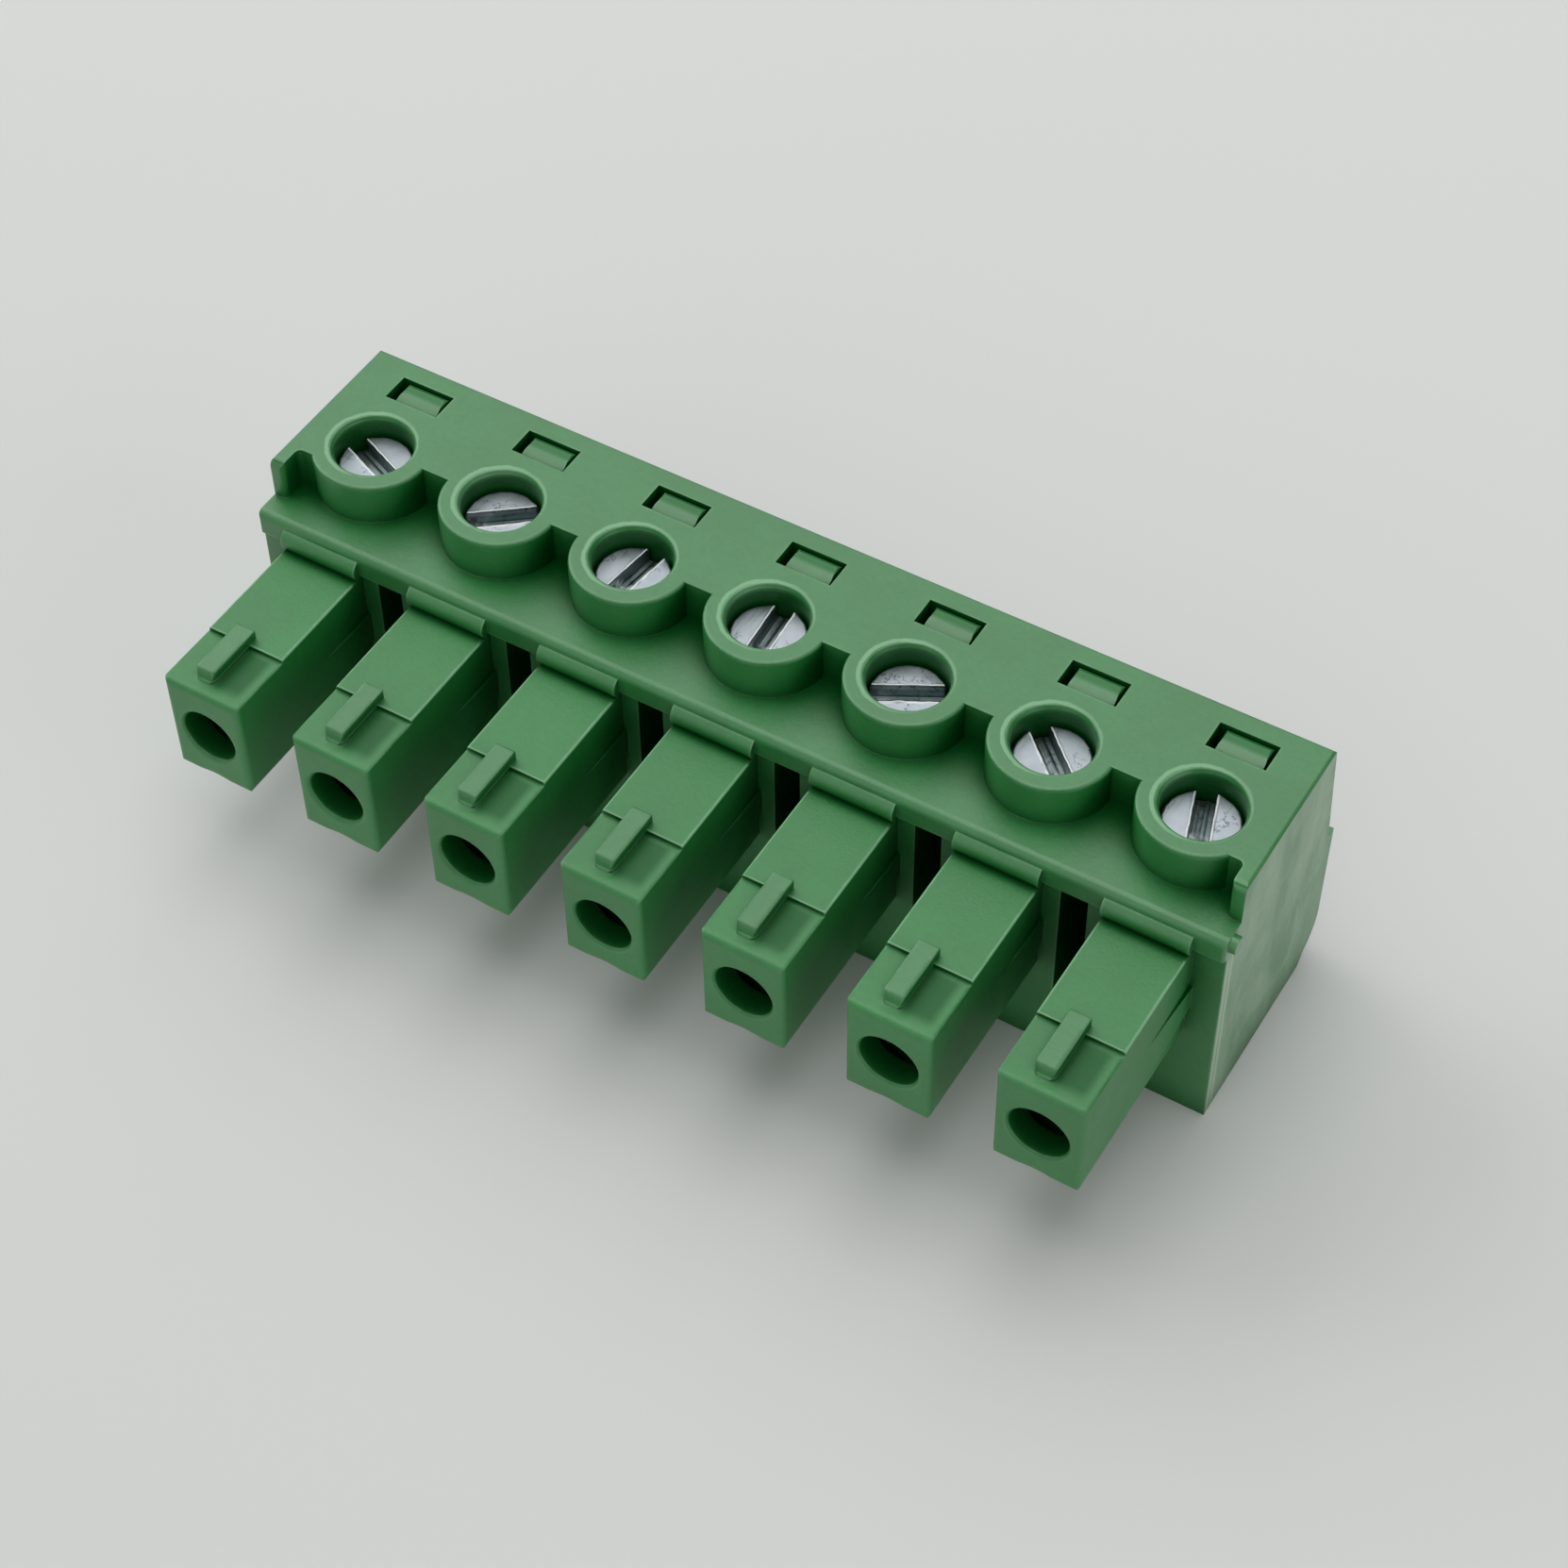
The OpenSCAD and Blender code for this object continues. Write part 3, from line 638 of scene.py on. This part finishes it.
# %% [markdown]
# ## Dressing the CAD nodes
# The model's nodes are named for what they are, so the start of a name says which finish the node gets. A
# list of all the names would say the same, but it would have to be kept in step with the model. The meshes
# themselves stay as they came. The CAD screws are dressed too, although they are replaced below.

# %% Dress the CAD nodes
skins = {"housing": housing_green, "rear_cover": cover_green, "clamp_screw": screw_zinc,
         "clamp_cage": cage_zinc, "contact": contact_tin}
for name, node in nodes.items():
    skin = next(material for stem, material in skins.items() if name.startswith(stem))
    node.data.materials.clear()
    node.data.materials.append(skin)
print("dressed", len(nodes), "nodes")

# %% [markdown]
# ## Clamp screws
# Each clamp screw is a small cheese-head of zinc-plated steel. Its thread is rolled, and its slot is sawn,
# which leaves burrs along the slot's lips and ridges along its floor. The CAD screw has a plain shank and a
# clean slot. It could be displaced by a noise, but its long thin faces have no points to move. So it is
# replaced by a new screw that keeps its height, its head and the direction of its slot.

# %% Measure the slots
def slot_turn(node):
    """The angle of a CAD screw's slot, from the spread of the points on its floor."""
    corners = [node.matrix_world @ vertex.co for vertex in node.data.vertices]
    middle = (max(corner.x for corner in corners) + min(corner.x for corner in corners)) / 2
    on_floor = [corner for corner in corners if abs(corner.z - slot_floor) < level]
    floor = [(corner.x - middle, corner.y - well_y) for corner in on_floor]
    xx = sum(x * x for x, y in floor)
    yy = sum(y * y for x, y in floor)
    xy = sum(x * y for x, y in floor)
    return math.atan2(2 * xy, xx - yy) / 2


heights = sorted({round(vertex.co.z, 6) for vertex in nodes["clamp_screw_1"].data.vertices})
neck_z = min(heights, key=lambda z: abs(z - (screw_high.z - 0.95 * MM)))
slot_floor = min(heights, key=lambda z: abs(z - (screw_high.z - 0.50 * MM)))
slot_turns = [slot_turn(nodes[f"clamp_screw_{n + 1}"]) for n in range(len(well_x))]
print("slots turned by", [round(math.degrees(turn) % 180) for turn in slot_turns], "degrees")

# %% [markdown]
# A boolean cut would give the slot knife edges. Strips laid side by side across the head give a better one,
# because each strip can have its own height, and a little noise along a strip is a burr. The rows between the
# strips run along the slot. They are close together at its lips, where the height changes most.

# %% Rows across a head
half_slot = 0.33 * MM
floor_ridge = 0.020 * MM
floor_step = 0.0675  # mm from one row of the floor to the next


def slot_rows(reach, seed):
    """Rows across the head: how far each is from the slot's middle, its height, and how rough it is."""
    deep = slot_floor - screw_high.z
    rows = [(-part * reach, 0.0, 0.0) for part in (1.0, 0.95, 0.85, 0.7)]
    lip = ((-0.16, 0.0, 0.1), (-0.09, 0.0, 0.5), (-0.045, 0.022, 1.0), (-0.01, 0.016, 1.0),
           (0.012, -0.06, 0.6))
    rows += [(-half_slot + shift * MM, height * MM, rough) for shift, height, rough in lip]
    rows += [(-half_slot + 0.03 * MM, deep, 0.2)]
    near_side = list(rows)
    for step in range(1, 8):
        ridge = floor_ridge * math.sin(step * 1.5 + seed * 1.7)
        rows.append((-half_slot + (0.03 + step * floor_step) * MM, deep + ridge, 0.3))
    rows += [(-across, height, rough) for across, height, rough in reversed(near_side)]
    return rows


print("rows across a head:", len(slot_rows(head_r, 0)))

# %% [markdown]
# A sawn lip is rough in three ways, so three noises are laid along a row: a fine one ripples its height, a
# slow one tears pieces of the lip upwards, and one pushes it sideways. Blender's displace modifier could do
# it, but it would roughen the flat of the head as well. Here each row brings its own roughness.

# %% Rough rows
chord_steps = 40
ripple_scale, grain_scale, tear_scale, drift_scale = 5200, 14000, 1900, 3800  # bumps a metre
ripple, tear, sideways = 0.010, 0.030, 0.016  # mm


def wander(along, seed, scale):
    """Smooth noise from -1 to 1 along a row."""
    return noise.noise(Vector((along * scale, seed * 7.31, 0.0)))


def head_row(chord, number, row, seed, far_lip):
    """The points of one row: how far across and along each is, and its height."""
    across, height, rough = row
    for step in range(chord_steps + 1):
        along = chord * math.sin((step / chord_steps - 0.5) * math.pi)
        sway = wander(along, seed + number * 0.1, ripple_scale)
        sway += 0.5 * wander(along, seed + 40 + number, grain_scale)
        torn = max(0.0, wander(along, seed + 90 + far_lip, tear_scale)) * 1.6
        lift = rough * (ripple * sway + (tear * torn if height > 0 else 0.0)) * MM
        drift = rough * sideways * MM * wander(along, seed + 60 + far_lip, drift_scale)
        yield across + drift, along, height + lift


print("points along a row:", chord_steps + 1)

# %% [markdown]
# Every row is a chord of the round head. A square grid trimmed to a circle would leave a stepped rim. So the
# points of each row lie closer together towards both ends of its chord, and the rim comes out round.

# %% Top of a head
rim_edge = 0.07 * MM


def head_top(shape, turn, seed):
    """Rows of points over a slotted head, its top at the CAD head's top, with faces between them."""
    reach = head_r - rim_edge
    cos_turn, sin_turn = math.cos(turn), math.sin(turn)

    def place(across, along, height):
        x = along * cos_turn - across * sin_turn
        y = along * sin_turn + across * cos_turn
        return shape.verts.new((x, y, screw_high.z + height))

    rows = slot_rows(reach, seed)
    top = []
    for number, row in enumerate(rows):
        chord = math.sqrt(max(reach * reach - row[0] * row[0], 0.0))
        if chord < 1e-7:  # the outermost rows have shrunk to a point
            top.append([place(row[0], 0.0, row[1])])
        else:
            far_lip = number > len(rows) // 2
            top.append([place(*point) for point in head_row(chord, number, row, seed, far_lip)])
    for first, second in zip(top, top[1:]):
        for step in range(chord_steps):
            if len(first) == 1:
                shape.faces.new((first[0], second[step], second[step + 1]))
            elif len(second) == 1:
                shape.faces.new((first[step], second[0], first[step + 1]))
            else:
                shape.faces.new((first[step], second[step], second[step + 1], first[step + 1]))
    return top


print(f"a head's top reaches {(head_r - rim_edge) / MM:.2f} mm from its middle")

# %% [markdown]
# A plain cylinder below the top would need its own slot cut out. So the rim and the side are rings of the
# rows' own end points, dropped straight down. A ring never rises above the point that it hangs from, and
# where the slot runs out, the side opens by itself.

# %% Side of a head
def head_side(shape, top):
    """A rounded edge and an upright side below the rows' ends, closed at the neck."""
    inner_rows = top[1:-1]
    ring = [top[0][0]] + [row[-1] for row in inner_rows]
    ring += [top[-1][0]] + [row[0] for row in reversed(inner_rows)]
    reach = head_r - rim_edge
    neck = neck_z - screw_high.z
    for out, down in ((0.6 * rim_edge, -0.2 * rim_edge), (rim_edge, -rim_edge), (rim_edge, neck)):
        lower = []
        for vertex in ring:
            flat = Vector((vertex.co.x, vertex.co.y, 0)).normalized() * (reach + out)
            lower.append(shape.verts.new((flat.x, flat.y, min(vertex.co.z, screw_high.z + down))))
        for k in range(len(ring)):
            after = (k + 1) % len(ring)
            shape.faces.new((ring[k], ring[after], lower[after], lower[k]))
        ring = lower
    shape.faces.new(ring)


print(f"heads {(screw_high.z - neck_z) / MM:.2f} mm high")

# %% [markdown]
# A rolled thread is a ridge that climbs by one lead each turn. A profile could be swept along a helix, but a
# swept thread is hard to close at its ends. On a grid of rings the ridge is simply a radius that depends on
# height and angle together. The same rings narrow to the point and run out into a plain neck.

# %% Screw thread
thread_lead = 0.4 * MM
crest, root = 0.95 * MM, 0.74 * MM
thread_sides = 36
point_share = 0.68  # the point's radius beside the shank's
point_slope = 0.8 * MM  # the height over which the shank would grow by its whole radius
neck_length, run_out = 0.55 * MM, 0.2 * MM
neck_share = 0.55  # how far the plain neck stands between root and crest


def thread_radius(height, length, side):
    """The shank's radius at a height above its point, on one of its sides."""
    point = min(1.0, point_share + height / point_slope)
    plain = min(1.0, max(0.0, (height - (length - neck_length)) / run_out))
    turned = (height / thread_lead - side / thread_sides) % 1.0
    ridge = min(1.0, max(0.0, 1.45 - abs(turned - 0.5) * 4.0))
    return (root + (crest - root) * (ridge * (1 - plain) + neck_share * plain)) * point


def screw_thread(shape):
    """The shank, threaded from its point to just below the head."""
    tip = screw_low.z
    length = neck_z + 0.04 * MM - tip
    count = int(length / (0.045 * MM))
    below = None
    for ring_number in range(count + 1):
        height = length * ring_number / count
        ring = []
        for side in range(thread_sides):
            radius = thread_radius(height, length, side)
            angle = 2 * math.pi * side / thread_sides
            ring.append(shape.verts.new((radius * math.cos(angle), radius * math.sin(angle), tip + height)))
        if below:
            for side in range(thread_sides):
                after = (side + 1) % thread_sides
                shape.faces.new((below[side], below[after], ring[after], ring[side]))
        else:
            shape.faces.new(list(reversed(ring)))
        below = ring
    shape.faces.new(below)


print(f"threads of {thread_lead / MM:.1f} mm lead, {(neck_z - screw_low.z) / MM:.1f} mm long")

# %% [markdown]
# The seven screws differ in the direction of their slots and in their burrs. One mesh could be shared and
# turned, but then every screw would have the same burrs. Each screw takes the place of its CAD node and
# rides on the body that turns.

# %% Make the seven screws
screws = []
for n, x in enumerate(well_x):
    burr_seed = n * 3.7
    shape = bmesh.new()
    head_side(shape, head_top(shape, slot_turns[n], burr_seed))
    screw_thread(shape)
    bmesh.ops.recalc_face_normals(shape, faces=shape.faces)
    bmesh.ops.translate(shape, vec=(x, well_y, 0), verts=shape.verts)
    mesh = bpy.data.meshes.new(f"slotted_screw_{n + 1}")
    shape.to_mesh(mesh)
    shape.free()
    screw = bpy.data.objects.new(f"slotted_screw_{n + 1}", mesh)
    bpy.context.scene.collection.objects.link(screw)
    mesh.materials.append(screw_zinc)
    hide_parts(f"clamp_screw_{n + 1}")
    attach(screw, f"screw_{n + 1}")
    screws.append(screw)
print(f"{len(screws)} screws, {len(screws[0].data.polygons)} faces each")

# %% [markdown]
# ## Table
# The block stands on a plain pale table, which is a shade deeper towards the front left. A lamp could make
# that fall-off, but it would change the block's light too. So the fall-off is painted into the table's
# colour, which leaves the lamps free to serve the block. The table itself is one large flat grid.

# %% Table
table_half = 2.0  # metres


def pale_table():
    """A matt pale grey with a painted fall-off of light, deeper towards the front left."""
    net = Skin("pale table")
    place = net.axes(net.surface("Position"))
    far = net.math("MULTIPLY_ADD", place["X"], 0.6, place["Y"])
    far = net.math("MULTIPLY_ADD", net.noise(14.0, 2.0), 30 * MM, far)
    # painted fall-off of light: the table is darker towards the front left
    colour = net.blend(net.ramp(far, -60 * MM, 100 * MM), linear(208, 210, 208), linear(222, 224, 222))
    return net.finish(net.add("BsdfPrincipled", None, Base_Color=colour, Roughness=0.6))


table_mesh = bpy.data.meshes.new("table")
table_shape = bmesh.new()
bmesh.ops.create_grid(table_shape, x_segments=1, y_segments=1, size=table_half)
table_shape.to_mesh(table_mesh)
table_shape.free()
table = bpy.data.objects.new("table", table_mesh)
bpy.context.scene.collection.objects.link(table)
table_mesh.materials.append(pale_table())
print(f"table {2 * table_half:.0f} m across")

# %% [markdown]
# ## Light
# One sun-like lamp would throw hard shadows and burn a single bright patch into the satin plastic. Five
# large, weak lamps stand round the block instead, the strongest at the left and overhead. The deck mirrors
# all of them a little, so it looks milky. The gaps between the fingers see little of them, so they stay
# dark. A plain white world lifts what the lamps miss.

# %% Light
world_strength = 0.25
middle_of_table = Vector((0, 0, 0))


def softbox(name, place, size, watts):
    """A round soft lamp that faces the middle of the table, where the block stands."""
    lamp_data = bpy.data.lights.new(name, "AREA")
    lamp_data.shape = "DISK"
    lamp_data.size = size
    lamp_data.energy = watts
    lamp = bpy.data.objects.new(name, lamp_data)
    lamp.location = place
    lamp.rotation_mode = "QUATERNION"
    lamp.rotation_quaternion = (middle_of_table - Vector(place)).to_track_quat("-Z", "Y")
    bpy.context.scene.collection.objects.link(lamp)


softbox("window side", (-0.34, 0.02, 0.20), 0.40, 0.66)
softbox("high and behind", (-0.17, 0.27, 0.36), 0.50, 0.50)
softbox("overhead", (0.00, 0.02, 0.45), 0.40, 0.64)
softbox("front fill", (0.00, -0.34, 0.20), 0.40, 0.22)
softbox("right fill", (0.40, -0.05, 0.12), 0.40, 0.42)
world = bpy.data.worlds.new("studio")
world.use_nodes = True
world.node_tree.nodes["Background"].inputs["Color"].default_value = (1.0, 1.0, 1.0, 1.0)
world.node_tree.nodes["Background"].inputs["Strength"].default_value = world_strength
bpy.context.scene.world = world
bpy.context.scene.view_settings.view_transform = "Standard"
watts_in_all = sum(lamp.energy for lamp in bpy.data.lights)
print("lamps:", len(bpy.data.lights), "with", round(watts_in_all, 2), "watts in all")

# %% [markdown]
